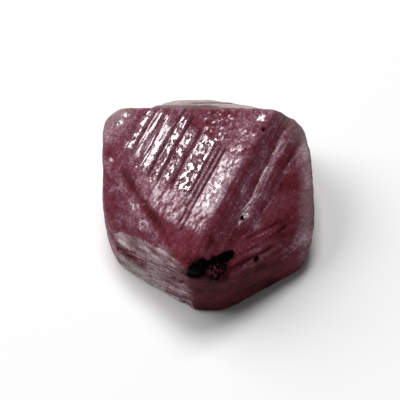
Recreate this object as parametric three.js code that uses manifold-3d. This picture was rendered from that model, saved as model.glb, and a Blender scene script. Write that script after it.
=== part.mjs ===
// Raw ruby crystal: a natural, uncut corundum crystal that rests on its lower basal face.
// One solid. Millimetres, +Z up, origin at the centre of the resting footprint's box.
import * as THREE from 'three';
import { mergeVertices } from 'three/addons/utils/BufferGeometryUtils.js';
import Module from 'manifold-3d';

// ---------------------------------------------------------------- driving dimensions
const HEIGHT = 10.28;              // lower basal face to upper basal face
const EDGE_WEAR = 0.22;            // how far each natural edge is worn back
const BLANK = 60;                  // side of the cube that the faces are cut from

// A growth face is [azimuth of its outward normal, dip below the horizontal,
// distance from the axis, height at which that distance holds]. A dip of 90 is a vertical
// prism face, 0 is the flat basal face and more than 90 overhangs.
const SIDE_FACES = [
  [180.0, 90, 10.05, HEIGHT],      // left prism face
  [205.0, 90, 11.28, HEIGHT],      // corner bevel, left to front left
  [238.0, 90, 11.45, HEIGHT],      // front left prism face
  [271.0, 86, 12.80, 0],           // blunted front edge
  [301.0, 83.5, 11.95, 0],         // front right prism face
  [335.0, 87, 11.95, HEIGHT],      // corner bevel, front right to right
  [350.0, 101, 11.35, 3.6],        // overhanging foot of that corner
  [5.3, 90, 9.90, HEIGHT],         // right prism face
  [28.0, 84, 9.25, HEIGHT],        // corner bevel, right to back right
  [53.0, 78, 8.35, HEIGHT],        // back right prism face
  [129.6, 90, 8.55, HEIGHT],       // back left prism face
];
const LEFT_RHOMB = [213.7, 54.5, 8.35, HEIGHT];   // large rhombohedral face, left front
const LEFT_BEVEL = [221.8, 65, 10.54, 7.66];      // steeper strip below it
const CORNER_RHOMB = [318.0, 53, 11.90, 3.45];    // small facet above the right front corner
const BASAL_SLOPES = [
  [213.7, 11.3, 6.5, HEIGHT],      // the upper basal face falls away to the left
  [270.0, 5.7, 4.9, HEIGHT],       // and to the front
];
const BACK_FACES = [
  [72.0, 82, 6.00, HEIGHT],        // corner bevel, back right to back
  [90.0, 78, 4.15, HEIGHT],        // back
];

// The right rhombohedral face is stepped. Distances run outward from the edge that it
// shares with the upper basal face, depths run down from that edge.
const STEP_AZIMUTH = 328.6;
const STEP_EDGE = 3.49;            // from the axis to that edge
const UPPER_RISER = { azimuth: 331.5, dip: 45, out: 0.16, down: 0 };
const UPPER_TREAD = { azimuth: 319.0, dip: 12, out: 1.95, down: 1.79 };
const LOWER_RISER = { azimuth: 330.7, dip: 48, out: 2.75, down: 1.96 };
const LOWER_TREAD = { azimuth: 322.0, dip: 12, out: 3.60, down: 2.77 };
const LOWER_SLOPE = { azimuth: 328.6, dip: 28, out: 3.08, down: 2.49 };

// Growth plate on the back: a parallel crystal with a rhombohedral top.
const PLATE_FACES = [
  [89.5, 47, 4.10, HEIGHT],
  [125.0, 87, 6.75, HEIGHT],
  [68.6, 86, 5.95, HEIGHT],
  [90.0, 90, 6.25, HEIGHT],
];
const PLATE_DROP = 0.1;            // plate top below the upper basal face

// Growth grooves in the upper basal face: [offset across them, start, end, width, depth],
// start and end along them, all from the axis.
const GROOVE_AZIMUTH = 63.5;
const GROOVES = [
  [-7.24, -2.6, 1.1, 0.26, 0.08],
  [-6.28, -4.0, 1.8, 0.24, 0.09],
  [-5.33, -4.6, 2.4, 0.22, 0.09],
  [-3.90, -5.2, 3.6, 0.30, 0.13],
  [-2.84, -5.6, 2.0, 0.28, 0.12],
  [-1.50, -4.8, 1.0, 0.44, 0.10],
  [0.50, -6.0, 0.4, 0.26, 0.13],
  [1.00, -6.2, 0.5, 0.26, 0.14],
  [1.48, -6.4, 0.4, 0.28, 0.14],
];

// Long recess on the front left prism face: middle along the face, middle height, size,
// depth into the face and rise to the right in degrees.
const RECESS = { along: -1.45, middle: 4.6, length: 3.8, height: 2.1, depth: 0.36, rise: 12 };
// Pocket of black mineral at the top of the front edge: centre, half sizes and turns.
const POCKET = { centre: [0.4, -11.1, 8.2], half: [2.0, 0.85, 0.85], turn: [0, 0.28, 0.43] };

// ---------------------------------------------------------------- solids
const wasm = await Module();
wasm.setup();

/** Turns a closed three.js geometry into a solid. */
function solidOf(geometry) {
  let source = geometry.index ? geometry.toNonIndexed() : geometry.clone();
  source.deleteAttribute('normal');
  source.deleteAttribute('uv');
  source = mergeVertices(source, 1e-5);
  return new wasm.Manifold(new wasm.Mesh({
    numProp: 3,
    vertProperties: new Float32Array(source.attributes.position.array),
    triVerts: new Uint32Array(source.index.array),
  }));
}

/** Turns a solid back into a three.js geometry. */
function geometryOf(solid) {
  const mesh = solid.getMesh();
  const geometry = new THREE.BufferGeometry();
  geometry.setAttribute('position', new THREE.BufferAttribute(mesh.vertProperties, 3));
  geometry.setIndex(new THREE.BufferAttribute(mesh.triVerts, 1));
  return geometry;
}

/** Outward normal and offset of a growth face. */
function facePlane([azimuth, dip, distance, height]) {
  const turn = THREE.MathUtils.degToRad(azimuth);
  const lift = THREE.MathUtils.degToRad(90 - dip);
  const normal = new THREE.Vector3(
    Math.cos(turn) * Math.cos(lift), Math.sin(turn) * Math.cos(lift), Math.sin(lift));
  const point = new THREE.Vector3(Math.cos(turn) * distance, Math.sin(turn) * distance, height);
  return { normal, offset: normal.dot(point) };
}

/** A face of the stepped side. */
function stepPlane({ azimuth, dip, out, down }) {
  const turn = THREE.MathUtils.degToRad(azimuth - STEP_AZIMUTH);
  return facePlane([azimuth, dip, (STEP_EDGE + out) * Math.cos(turn), HEIGHT - down]);
}

/** Everything on the outer side of a plane, as a large box standing on it. */
function outerSide({ normal, offset }) {
  const box = new THREE.BoxGeometry(2 * BLANK, 2 * BLANK, BLANK);
  box.translate(0, 0, BLANK / 2);
  const place = new THREE.Matrix4().makeRotationFromQuaternion(
    new THREE.Quaternion().setFromUnitVectors(new THREE.Vector3(0, 0, 1), normal));
  place.setPosition(normal.clone().multiplyScalar(offset));
  return solidOf(box.applyMatrix4(place));
}

/** The worn edge between two faces, or null where they are nearly parallel or opposed. */
function wornEdge(a, b) {
  const bend = a.normal.angleTo(b.normal);
  if (bend < 0.3 || bend > 2.6) return null;
  const sum = a.normal.clone().add(b.normal);
  const length = sum.length();
  return { normal: sum.divideScalar(length), offset: (a.offset + b.offset) / length - EDGE_WEAR };
}

/** Convex crystal bounded by the given planes, with its edges worn. */
function crystalOf(planes) {
  let solid = solidOf(new THREE.BoxGeometry(BLANK, BLANK, BLANK));
  for (const plane of planes) solid = solid.subtract(outerSide(plane));
  for (let i = 0; i < planes.length; i += 1) {
    for (let j = i + 1; j < planes.length; j += 1) {
      if (planes[i].normal.z < -0.9 || planes[j].normal.z < -0.9) continue;
      const edge = wornEdge(planes[i], planes[j]);
      if (edge) solid = solid.subtract(outerSide(edge));
    }
  }
  return solid;
}

const top = { normal: new THREE.Vector3(0, 0, 1), offset: HEIGHT };
const base = { normal: new THREE.Vector3(0, 0, -1), offset: 0 };
const sides = [...SIDE_FACES, LEFT_RHOMB, LEFT_BEVEL, CORNER_RHOMB, ...BASAL_SLOPES].map(facePlane);
const back = BACK_FACES.map(facePlane);
const plate = PLATE_FACES.map(facePlane);

let crystal = crystalOf([top, base, ...sides, ...back, stepPlane(UPPER_RISER)]);
for (const [tread, riser] of [[UPPER_TREAD, LOWER_RISER], [LOWER_TREAD, LOWER_SLOPE]]) {
  crystal = crystal.add(crystalOf([top, base, ...sides, ...back, stepPlane(tread), stepPlane(riser)]));
}

const plateTop = { normal: top.normal, offset: HEIGHT - PLATE_DROP };
crystal = crystal.add(crystalOf([plateTop, base, ...sides, ...plate, stepPlane(UPPER_RISER)]));

/** A V groove in the upper basal face. */
function groove([across, start, end, width, depth]) {
  const section = new THREE.Shape([
    new THREE.Vector2(-width, depth),
    new THREE.Vector2(0, -depth),
    new THREE.Vector2(width, depth),
  ]);
  const bar = new THREE.ExtrudeGeometry(section, { depth: end - start, bevelEnabled: false });
  bar.rotateX(Math.PI / 2);
  bar.rotateZ(Math.PI / 2);
  bar.translate(start, -across, HEIGHT);
  bar.rotateZ(THREE.MathUtils.degToRad(GROOVE_AZIMUTH));
  return solidOf(bar);
}
for (const cut of GROOVES) crystal = crystal.subtract(groove(cut));

/** The recess in the front left prism face. */
function recess() {
  const [azimuth, , distance] = SIDE_FACES[2];
  const box = new THREE.BoxGeometry(2 * RECESS.depth, RECESS.length, RECESS.height);
  box.rotateX(THREE.MathUtils.degToRad(RECESS.rise));
  box.translate(distance, RECESS.along, RECESS.middle);
  box.rotateZ(THREE.MathUtils.degToRad(azimuth));
  return solidOf(box);
}
crystal = crystal.subtract(recess());

/** The pocket of black mineral. */
function pocket() {
  const lump = new THREE.IcosahedronGeometry(1, 2);
  lump.scale(...POCKET.half);
  lump.rotateX(POCKET.turn[0]);
  lump.rotateY(POCKET.turn[1]);
  lump.rotateZ(POCKET.turn[2]);
  lump.translate(...POCKET.centre);
  return solidOf(lump);
}
crystal = crystal.subtract(pocket());

// ---------------------------------------------------------------- scene
const body = geometryOf(crystal);
body.computeBoundingBox();
const middle = body.boundingBox.getCenter(new THREE.Vector3());
body.translate(-middle.x, -middle.y, 0);
body.computeVertexNormals();

const ruby = new THREE.MeshStandardMaterial({ color: 0x73505a, roughness: 0.45, metalness: 0 });
const crystalMesh = new THREE.Mesh(body, ruby);
crystalMesh.name = 'ruby_crystal';

const part = new THREE.Group();
part.name = 'raw_ruby_crystal';
part.add(crystalMesh);

export default part;
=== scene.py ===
"""Raw ruby crystal: an uncut corundum crystal lying on its lower basal face.

The crystal is one piece. Its faces are planes around a growth axis, the stepped side is three
growth tiers, and every face carries its own relief: grooves and lands on the upper basal face,
fibres on the front left prism face, grain on the rhombohedral ones. Lengths inside the crystal
classes are millimetres from the foot of the growth axis; the finished mesh is in metres.
"""

from __future__ import annotations

import logging
import math
from dataclasses import dataclass, field
from enum import Enum
from typing import Callable

import bmesh
import bpy
import numpy as np
from mathutils import Matrix, Vector

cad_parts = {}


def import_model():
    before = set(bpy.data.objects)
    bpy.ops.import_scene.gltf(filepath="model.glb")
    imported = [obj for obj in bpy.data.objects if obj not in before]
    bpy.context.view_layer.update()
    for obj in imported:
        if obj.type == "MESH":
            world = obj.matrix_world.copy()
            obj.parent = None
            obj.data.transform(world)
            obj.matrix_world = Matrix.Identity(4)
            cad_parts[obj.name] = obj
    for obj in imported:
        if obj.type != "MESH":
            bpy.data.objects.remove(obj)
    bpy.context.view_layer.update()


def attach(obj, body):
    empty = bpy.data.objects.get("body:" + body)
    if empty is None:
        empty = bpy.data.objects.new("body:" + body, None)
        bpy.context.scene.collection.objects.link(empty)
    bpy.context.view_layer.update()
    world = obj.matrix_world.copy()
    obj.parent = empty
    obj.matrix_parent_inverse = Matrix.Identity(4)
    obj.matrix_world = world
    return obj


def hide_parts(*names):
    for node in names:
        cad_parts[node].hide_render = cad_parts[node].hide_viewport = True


LOG = logging.getLogger("ruby")
NODE = "ruby_crystal"
MM = 0.001

Array = np.ndarray


# ------------------------------------------------------------------------------ helpers
def linear(code: str) -> tuple[float, float, float, float]:
    """Turns an sRGB hex colour into linear RGBA.

    Args:
        code: six hex digits, with or without a leading hash.

    Returns:
        Linear red, green and blue, and an alpha of 1.
    """
    digits = code.lstrip("#")
    values = [int(digits[i:i + 2], 16) / 255 for i in (0, 2, 4)]
    red, green, blue = [v / 12.92 if v <= 0.04045 else ((v + 0.055) / 1.055) ** 2.4 for v in values]
    return red, green, blue, 1.0


def heading(azimuth: float) -> Array:
    """Unit direction in plan that an azimuth in degrees points in."""
    turn = math.radians(azimuth)
    return np.array([math.cos(turn), math.sin(turn), 0.0])


def beside(azimuth: float) -> Array:
    """Unit direction in plan that runs level along a face with that azimuth."""
    turn = math.radians(azimuth)
    return np.array([-math.sin(turn), math.cos(turn), 0.0])


def pair(first: Array, second: Array) -> Array:
    """Puts two coordinates side by side, one row for each point."""
    return np.stack([first, second], axis=1)


def ramp(value: Array, low: float, high: float) -> Array:
    """Rises smoothly from 0 at low to 1 at high; falls if high is below low."""
    t = np.clip((value - low) / (high - low), 0.0, 1.0)
    return t * t * (3.0 - 2.0 * t)


def window(value: Array, start: float, end: float, soft: float) -> Array:
    """Is 1 between start and end and fades to 0 over soft outside them."""
    return ramp(value, start - soft, start) * ramp(value, end + soft, end)


def apart(points: Array, place: Array) -> Array:
    """Distance of each point from a place, or from its own place."""
    return np.linalg.norm(points - place, axis=1)


def ridge(value: Array, middle: float, width: float) -> Array:
    """Is 1 where the value is at the middle and fades to 0 on both sides, over a width."""
    return np.exp(-((value - middle) / width) ** 2)


class GrainField:
    """Smooth random values over space, the same on every run."""

    CELLS = 48

    def __init__(self, seed: int) -> None:
        """Fills the lattice that the values come from."""
        self._lattice = np.random.default_rng(seed).uniform(-1.0, 1.0, (self.CELLS,) * 3)

    def at(self, points: Array, *scale: float) -> Array:
        """Samples the field.

        Args:
            points: positions, one row each, with one to three columns.
            scale: size of one random cell along each column.

        Returns:
            Values from -1 to 1.
        """
        place = np.zeros((len(points), 3))
        place[:, :len(scale)] = points[:, :len(scale)] / np.array(scale) + 7.31
        low = np.floor(place).astype(int)
        part = place - low
        part = part * part * (3.0 - 2.0 * part)
        total = np.zeros(len(points))
        for corner in np.ndindex(2, 2, 2):
            index = (low + corner) % self.CELLS
            weight = np.prod(np.where(corner, part, 1.0 - part), axis=1)
            total += weight * self._lattice[index[:, 0], index[:, 1], index[:, 2]]
        return total

    def layered(self, points: Array, *scale: float, layers: int = 3) -> Array:
        """Adds up finer and finer layers of the field, each half as strong.

        Args:
            points: positions, one row each.
            scale: size of one random cell of the first layer along each column.
            layers: how many there are.

        Returns:
            Values from about -1 to 1.
        """
        total = np.zeros(len(points))
        strength = 1.0
        sizes = np.array(scale, dtype=float)
        for layer in range(layers):
            total += strength * self.at(points + 3.7 * layer, *sizes)
            strength *= 0.5
            sizes = sizes * 0.5
        return total / (2.0 - 2.0 ** (1 - layers))

    def patches(self, across: Array, along: Array, width: float, length: float) -> tuple[Array, Array]:
        """Splits a face into irregular patches.

        Args:
            across: position on the face in one direction.
            along: position on the face in the other direction.
            width: mean size of a patch across.
            length: mean size of a patch along.

        Returns:
            How far each point is from its patch's middle, in patch sizes, and a random
            value from 0 to 1 that is the same all over the patch.
        """
        place = pair(across / width, along / length) + 19.0
        home = np.floor(place).astype(int)
        nearest = np.full(len(place), 9.0)
        value = np.zeros(len(place))
        for step in np.ndindex(3, 3):
            cell = home + np.array(step) - 1
            i, j = (cell % self.CELLS).T
            middle = cell + 0.5 + 0.42 * pair(self._lattice[i, j, 0], self._lattice[i, j, 1])
            gap = np.hypot(*(place - middle).T)
            closer = gap < nearest
            nearest = np.where(closer, gap, nearest)
            value = np.where(closer, 0.5 + 0.5 * self._lattice[i, j, 2], value)
        return nearest, value


# ------------------------------------------------------------------------------ the crystal
class Skin(Enum):
    """What a face's surface is like."""

    BASAL = "grooved and pitted upper basal face"
    LEFT_RHOMB = "broad grainy rhombohedral face"
    RISER = "smooth glassy riser of the stepped side"
    TREAD = "frosted narrow tread of the stepped side"
    SLOPE = "grainy lower slope of the stepped side"
    CORNER = "finely stepped corner facet"
    FIBROUS = "prism face with fibrous growth lines"
    GLASSY = "dark, smooth prism face"
    PRISM = "prism face with level growth lines"
    # the back plate's pale grey is painted grazing reflection
    PLATE = "pale weathered growth plate"
    BASE = "plain lower basal face"


@dataclass(frozen=True)
class Face:
    """One growth face.

    Attributes:
        azimuth: direction of the outward normal in plan, in degrees.
        dip: steepness below the horizontal, 90 for a vertical face and 0 for a flat one.
        reach: distance from the growth axis at that height.
        height: where reach holds.
        skin: what the surface is like.
    """

    azimuth: float
    dip: float
    reach: float
    height: float
    skin: Skin

    @property
    def normal(self) -> Array:
        """Outward unit normal."""
        lift = math.radians(90.0 - self.dip)
        return heading(self.azimuth) * math.cos(lift) + np.array([0.0, 0.0, math.sin(lift)])

    @property
    def level(self) -> Array:
        """Unit direction along the face that stays level."""
        return beside(self.azimuth)

    @property
    def offset(self) -> float:
        """Distance of the plane from the foot of the growth axis."""
        point = heading(self.azimuth) * self.reach + np.array([0.0, 0.0, self.height])
        return float(self.normal @ point)

    def on_face(self, points: Array) -> tuple[Array, Array]:
        """Gives positions on the face: level distance, and distance up the dip."""
        return points @ self.level, points @ np.cross(self.normal, self.level)


@dataclass(frozen=True)
class Wave:
    """One layer of random waves on a face.

    Attributes:
        strength: their height in millimetres.
        length: mean length of a wave, level along the face.
        width: mean width of a wave, up the face.
        layers: how many layers they are, each half the size and strength of the one before.
        lean: how far they lean: level distance for each distance up, and the other way round.
        shift: offset in the random field, so that two layers of waves don't match.
    """

    strength: float
    length: float
    width: float
    layers: int = 3
    lean: tuple[float, float] = (0.0, 0.0)
    shift: float = 0.0


FACE_WAVES: dict[Skin, tuple[Wave, ...]] = {
    Skin.LEFT_RHOMB: (Wave(0.07, 2.6, 1.8), Wave(0.065, 0.42, 0.36, 2), Wave(0.02, 0.5, 3.0, 2, shift=6.0)),
    Skin.RISER: (Wave(0.035, 4.0, 0.20, 2), Wave(0.03, 0.35, 2.0, 2, shift=3.0), Wave(0.035, 1.0, 0.6)),
    Skin.TREAD: (Wave(0.07, 2.8, 0.13, 2, lean=(0.4, 0.04)), Wave(0.05, 0.7, 0.3, 2, lean=(0.4, 0.04))),
    Skin.SLOPE: (Wave(0.05, 0.42, 0.36), Wave(0.06, 1.6, 1.0, 2)),
    Skin.CORNER: (Wave(0.08, 4.0, 0.24, 2, lean=(0.3, 0.06)), Wave(0.05, 0.6, 0.45, lean=(0.3, 0.06))),
    Skin.GLASSY: (Wave(0.08, 2.2, 1.4), Wave(0.05, 0.5, 0.4), Wave(0.03, 0.22, 2.2, 2, lean=(0.35, 0.0))),
    Skin.PRISM: (Wave(0.07, 4.5, 0.32), Wave(0.09, 9.0, 1.3, 1, shift=9.0), Wave(0.05, 0.6, 0.5),
                 Wave(0.10, 3.5, 3.0)),
    Skin.PLATE: (Wave(0.12, 5.0, 0.30, 2), Wave(0.06, 1.2, 0.8)),
}
SLOPE_RIDGES = Wave(0.07, 3.2, 0.24, 2)
SLOPE_SWEEP = Wave(0.05, 4.0, 0.3, 2, lean=(-0.5, 0.35))
FIBRES = (Wave(0.8, 1.7, 0.42, lean=(0.0, -0.30)), Wave(0.5, 1.1, 0.17, 2, lean=(0.0, -0.30), shift=6.0))


@dataclass(frozen=True)
class Land:
    """A bright strip between growth grooves, in the frame of the grooves.

    Attributes:
        left, right: its sides, measured across the grooves.
        near, far: its ends, measured along them.
        shine: how glassy its top is, 0 to 1.
        striae: how strongly fine growth lines cut it, 0 to 1.
    """

    left: float
    right: float
    near: float
    far: float
    shine: float
    striae: float = 0.0


@dataclass(frozen=True)
class LandMap:
    """Where the lands are, for a set of points.

    Attributes:
        cover: whether a point is on a land, 0 to 1.
        shine: how glassy the land is there.
        striae: how strongly fine growth lines cut it, 0 to 1.
        seams: the seams between the small etched blocks on it, 0 to 1.
    """

    cover: Array
    shine: Array
    striae: Array
    seams: Array


@dataclass(frozen=True)
class Groove:
    """A growth groove in the upper basal face, straight and parallel to its neighbours."""

    across: float
    near: float
    far: float
    width: float
    depth: float


@dataclass(frozen=True)
class Chip:
    """A small fresh break: where it is, its size, how deep it goes and how pale it is; its paleness is
    partly the fresh break and partly a painted glint.
    """

    place: tuple[float, float, float]
    size: float
    depth: float
    pale: float


@dataclass(frozen=True)
class Mark:
    """A soft-edged mark on a face: its middle there, its half sizes and its strength."""

    level: float
    rise: float
    half_length: float
    half_height: float
    strength: float

    def at(self, level: Array, rise: Array) -> Array:
        """How strong the mark is at each place on the face."""
        near = ridge(level, self.level, self.half_length) * ridge(rise, self.rise, self.half_height)
        return self.strength * near


@dataclass(frozen=True)
class Vein:
    """The black mineral: a tapering streak, single specks and loose crumbs under the streak.

    Attributes:
        start, end: the ends of the streak.
        thick, thin: how far it reaches from its middle line, at the start and further along.
        specks: place and size of each single speck.
        crumbs: middle of the loose crumbs.
    """

    start: tuple[float, float, float] = (-1.40, -11.55, 8.60)
    end: tuple[float, float, float] = (2.2, -9.8, 7.4)
    thick: float = 0.95
    thin: float = 0.45
    specks: tuple[tuple[float, float, float, float], ...] = (
        (4.6, -9.6, 6.0, 0.28),
        (5.2, 2.0, 10.15, 0.20),
        (3.26, -6.35, 8.25, 0.18),
    )
    crumbs: tuple[float, float, float] = (0.7, -11.1, 7.5)


@dataclass(frozen=True)
class Surface:
    """The crystal's surface, point by point.

    Attributes:
        points: positions, one row each.
        shares: each skin's share of a point.
        height: height of the relief.
        black: how deep a point lies in the black mineral; 0.5 is its edge.
        pale: how pale a chip makes it, 0 to 1, partly as a painted glint.
    """

    points: Array
    shares: dict[Skin, Array]
    height: Array
    black: Array
    pale: Array


@dataclass
class CrystalForm:
    """The crystal's faces, tiers and relief, in millimetres around its growth axis.

    Attributes:
        height: lower basal face to upper basal face.
        groove_azimuth: direction of the growth grooves in plan, in degrees.
        step_azimuth: direction that the stepped side faces.
        step_edge: distance from the axis to the top edge of the stepped side.
        left_azimuth: direction that the broad left face faces.
        fibre_azimuth: direction that the fibrous front left prism face faces.
        front_azimuth: direction that the front right prism face faces.
        right_azimuth: direction that the right prism face faces.
        right_reach: distance from the axis to the right prism face.
        back_azimuth: direction that the back right prism face faces.
        valley: distance from the axis to the valley beside the broad left face.
        middle: the point that the surface is measured from.
        recess_middle: middle of the long recess, along the fibrous face.
        recess_top, recess_foot: height of its upper and lower edge there.
        recess_rise: slope of its upper edge.
        recess_depth: how deep it goes.
        edge_sharpness: the inverse of how far edges are worn back.
        relief_margin: how near the surface a plane must be for its relief to count.
        lands, grooves, chips, gouges, vein: what the faces carry.
        grain: the random field that every relief and tone is drawn from.
    """

    height: float = 10.28
    groove_azimuth: float = 63.5
    step_azimuth: float = 328.6
    step_edge: float = 3.49
    left_azimuth: float = 213.7
    fibre_azimuth: float = 238.0
    front_azimuth: float = 301.0
    right_azimuth: float = 5.3
    right_reach: float = 9.90
    back_azimuth: float = 53.0
    valley: float = 8.2
    middle: tuple[float, float, float] = (0.1, -3.0, 4.6)
    recess_middle: float = -1.3
    recess_top: float = 5.75
    recess_foot: float = 3.55
    recess_rise: float = 0.33
    recess_depth: float = 0.36
    edge_sharpness: float = 4.2
    relief_margin: float = 2.5
    lands: tuple[Land, ...] = (
        Land(-7.05, -6.42, -3.6, 1.2, 0.80, 0.2),
        Land(-6.15, -5.38, -4.3, 1.3, 0.65, 0.9),
        Land(-5.28, -4.62, -4.8, 1.2, 0.65, 1.0),
        Land(-4.58, -4.06, -4.9, 0.7, 0.95, 0.5),
        Land(-3.75, -3.02, -5.5, 2.0, 0.95, 0.1),
        Land(-2.65, -1.82, -4.9, 0.8, 1.00, 0.1),
        Land(-1.20, 0.38, -5.3, 1.1, 1.00, 0.0),
        Land(0.62, 0.88, -5.6, 0.6, 0.45, 0.0),
        Land(1.12, 1.34, -5.6, 0.4, 0.30, 0.0),
        Land(1.62, 3.42, -5.9, 0.2, 0.42, 0.0),
    )
    grooves: tuple[Groove, ...] = (
        Groove(-7.34, -2.6, 1.0, 0.06, 0.07),
        Groove(-7.14, -2.6, 1.2, 0.06, 0.07),
        Groove(-6.28, -4.0, 1.8, 0.08, 0.09),
        Groove(-5.33, -4.6, 2.4, 0.07, 0.09),
        Groove(-3.90, -5.2, 3.6, 0.11, 0.13),
        Groove(-2.84, -5.6, 2.0, 0.10, 0.12),
        Groove(-1.50, -4.8, 1.0, 0.20, 0.10),
        Groove(0.50, -6.8, 0.4, 0.09, 0.13),
        Groove(1.00, -8.2, 0.5, 0.09, 0.14),
        Groove(1.48, -8.6, 0.4, 0.10, 0.14),
    )
    chips: tuple[Chip, ...] = (
        Chip((-7.10, -5.57, 9.30), 0.24, 0.06, 1.0),
        Chip((-6.52, -5.76, 9.52), 0.20, 0.05, 1.0),
        Chip((-6.00, -5.69, 9.72), 0.18, 0.05, 0.9),
        Chip((-5.9, -7.3, 8.8), 0.45, 0.16, 0.7),
        Chip((3.65, -6.0, 8.3), 0.42, 0.06, 1.0),
        Chip((4.7, -3.0, 8.8), 0.24, 0.10, 0.9),
        Chip((3.0, -6.8, 8.3), 0.22, 0.10, 0.9),
        Chip((-8.5, 2.5, 10.2), 0.34, 0.06, 1.0),
        Chip((-7.85, 3.3, 10.2), 0.26, 0.06, 0.9),
        Chip((-9.25, -1.2, 9.74), 0.30, 0.06, 0.9),
        Chip((5.0, 3.2, 10.2), 0.40, 0.06, 1.0),
        Chip((4.6, 2.9, 10.2), 0.25, 0.06, 0.8),
        Chip((9.9, -7.9, 4.6), 0.60, 0.28, 0.1),
        Chip((-1.9, -12.2, 0.6), 0.60, 0.35, 0.1),
    )
    gouges: tuple[Mark, ...] = (
        Mark(4.4, 5.7, 0.22, 0.45, 0.350),
        Mark(3.5, 6.0, 0.30, 0.90, 0.210),
        Mark(2.7, 2.85, 0.70, 0.20, 0.175),
        Mark(2.6, 1.3, 0.80, 0.25, 0.210),
        Mark(-3.0, 1.7, 0.35, 0.25, 0.175),
    )
    vein: Vein = Vein()
    grain: GrainField = field(default_factory=lambda: GrainField(20))

    def faces(self) -> list[list[Face]]:
        """Lists the faces of each growth tier; the crystal is all the tiers together.

        Returns:
            The faces of each tier.
        """
        top = self.height
        around = [
            Face(180.0, 90, 10.05, top, Skin.PRISM),
            Face(205.0, 90, 11.28, top, Skin.PRISM),
            Face(self.fibre_azimuth, 90, 11.45, top, Skin.FIBROUS),
            Face(271.0, 86, 12.80, 0, Skin.GLASSY),
            Face(self.front_azimuth, 83.5, 11.95, 0, Skin.GLASSY),
            Face(335.0, 87, 11.95, top, Skin.PRISM),
            Face(350.0, 101, 11.35, 3.6, Skin.PRISM),
            Face(self.right_azimuth, 90, self.right_reach, top, Skin.PRISM),
            Face(28.0, 84, 9.25, top, Skin.PRISM),
            Face(self.back_azimuth, 78, 8.35, top, Skin.PRISM),
            Face(self.left_azimuth, 54.5, 8.35, top, Skin.LEFT_RHOMB),
            Face(221.8, 65, 10.54, 7.66, Skin.FIBROUS),
            Face(318.0, 53, 11.90, 3.45, Skin.CORNER),
            Face(129.6, 90, 8.55, top, Skin.PRISM),
            Face(self.left_azimuth, 11.3, 6.5, top, Skin.BASAL),
            Face(270.0, 5.7, 4.9, top, Skin.BASAL),
            Face(0.0, 180, 0.0, 0.0, Skin.BASE),
        ]
        main_back = [
            Face(72.0, 82, 6.00, top, Skin.PRISM),
            Face(90.0, 78, 4.15, top, Skin.PRISM),
        ]
        plate_back = [
            Face(89.5, 47, 4.10, top, Skin.PLATE),
            Face(125.0, 87, 6.75, top, Skin.PLATE),
            Face(68.6, 86, 5.95, top, Skin.PLATE),
            Face(90.0, 90, 6.25, top, Skin.PLATE),
        ]
        basal = Face(0.0, 0, 0.0, top, Skin.BASAL)
        upper_riser = self._step(331.5, 45, 0.16, 0.0, Skin.RISER)
        upper_tread = self._step(319.0, 12, 1.95, 1.79, Skin.TREAD)
        lower_riser = self._step(330.7, 48, 2.75, 1.96, Skin.RISER)
        lower_tread = self._step(322.0, 12, 3.60, 2.77, Skin.TREAD)
        lower_slope = self._step(328.6, 28, 3.08, 2.49, Skin.SLOPE)
        return [
            [basal, upper_riser, *around, *main_back],
            [basal, upper_tread, lower_riser, *around, *main_back],
            [basal, lower_tread, lower_slope, *around, *main_back],
            [basal, upper_riser, *around, *plate_back],
        ]

    def _step(self, azimuth: float, dip: float, out: float, down: float, skin: Skin) -> Face:
        """Makes a face of the stepped side.

        Args:
            azimuth: direction of its outward normal in plan, in degrees.
            dip: its steepness below the horizontal.
            out: how far beyond the top edge of the stepped side it starts.
            down: how deep below the upper basal face that point lies.
            skin: what its surface is like.

        Returns:
            The face.
        """
        turn = math.radians(azimuth - self.step_azimuth)
        return Face(azimuth, dip, (self.step_edge + out) * math.cos(turn), self.height - down, skin)

    # -------------------------------------------------------------- frames on the faces
    def groove_frame(self, points: Array) -> tuple[Array, Array]:
        """Positions across and along the grooves of the upper basal face."""
        return -(points @ beside(self.groove_azimuth)), points @ heading(self.groove_azimuth)

    def step_frame(self, points: Array) -> tuple[Array, Array]:
        """Positions along the stepped side, and outward from its top edge."""
        return points @ beside(self.step_azimuth), points @ heading(self.step_azimuth) - self.step_edge

    def fibre_frame(self, points: Array) -> tuple[Array, Array]:
        """Positions on the front left prism face: level, and up it."""
        return points @ beside(self.fibre_azimuth), points[:, 2]

    def towards_left(self, points: Array) -> Array:
        """Distance from the axis towards the broad left face."""
        return points @ heading(self.left_azimuth)

    # -------------------------------------------------------------- upper basal face
    def land_at(self, points: Array) -> LandMap:
        """Maps the growth lands of the upper basal face.

        Args:
            points: positions, one row each.

        Returns:
            The lands at each point.
        """
        across, along = self.groove_frame(points)
        flat = pair(across, along)
        side = 0.05 * self.grain.layered(flat, 0.30, 0.9, layers=2)
        end = 0.45 * self.grain.layered(flat + 3.0, 0.40, 0.40, layers=2)
        cover, shine, striae = np.zeros((3, len(points)))
        for land in self.lands:
            mask = window(across + side, land.left, land.right, 0.04)
            mask = mask * window(along + end, land.near, land.far, 0.10)
            cover = np.maximum(cover, mask)
            shine = np.where(mask > 0, land.shine, shine)
            striae = np.where(mask > 0, land.striae, striae)
        ragged = 0.10 * self.grain.layered(flat + 8.0, 0.35, 0.35, layers=2)
        gap, value = self.grain.patches(across + ragged, along + 0.3 * across + ragged, 0.50, 0.75)
        seams = ramp(gap, 0.46, 0.66) * (1.0 - striae)
        patch = ramp(value + 0.5 * self.grain.at(flat, 0.9, 1.2), 0.0, 0.5)
        return LandMap(cover, cover * shine * (0.55 + 0.45 * patch), striae * cover, seams * cover)

    def rough_patch(self, points: Array) -> Array:
        """Where the back right of the upper basal face is broken into small chips, 0 to 1.

        Args:
            points: positions, one row each.

        Returns:
            How broken the face is at each point.
        """
        across, along = self.groove_frame(points)
        left = window(across + 0.25 * (along - 1.6), -1.1, 0.9, 0.5) * ramp(along, 0.9, 1.5)
        right = window(across, 1.9, 3.3, 0.3) * window(along, 0.4, 3.2, 0.4)
        return np.maximum(left, 0.6 * right)

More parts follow.
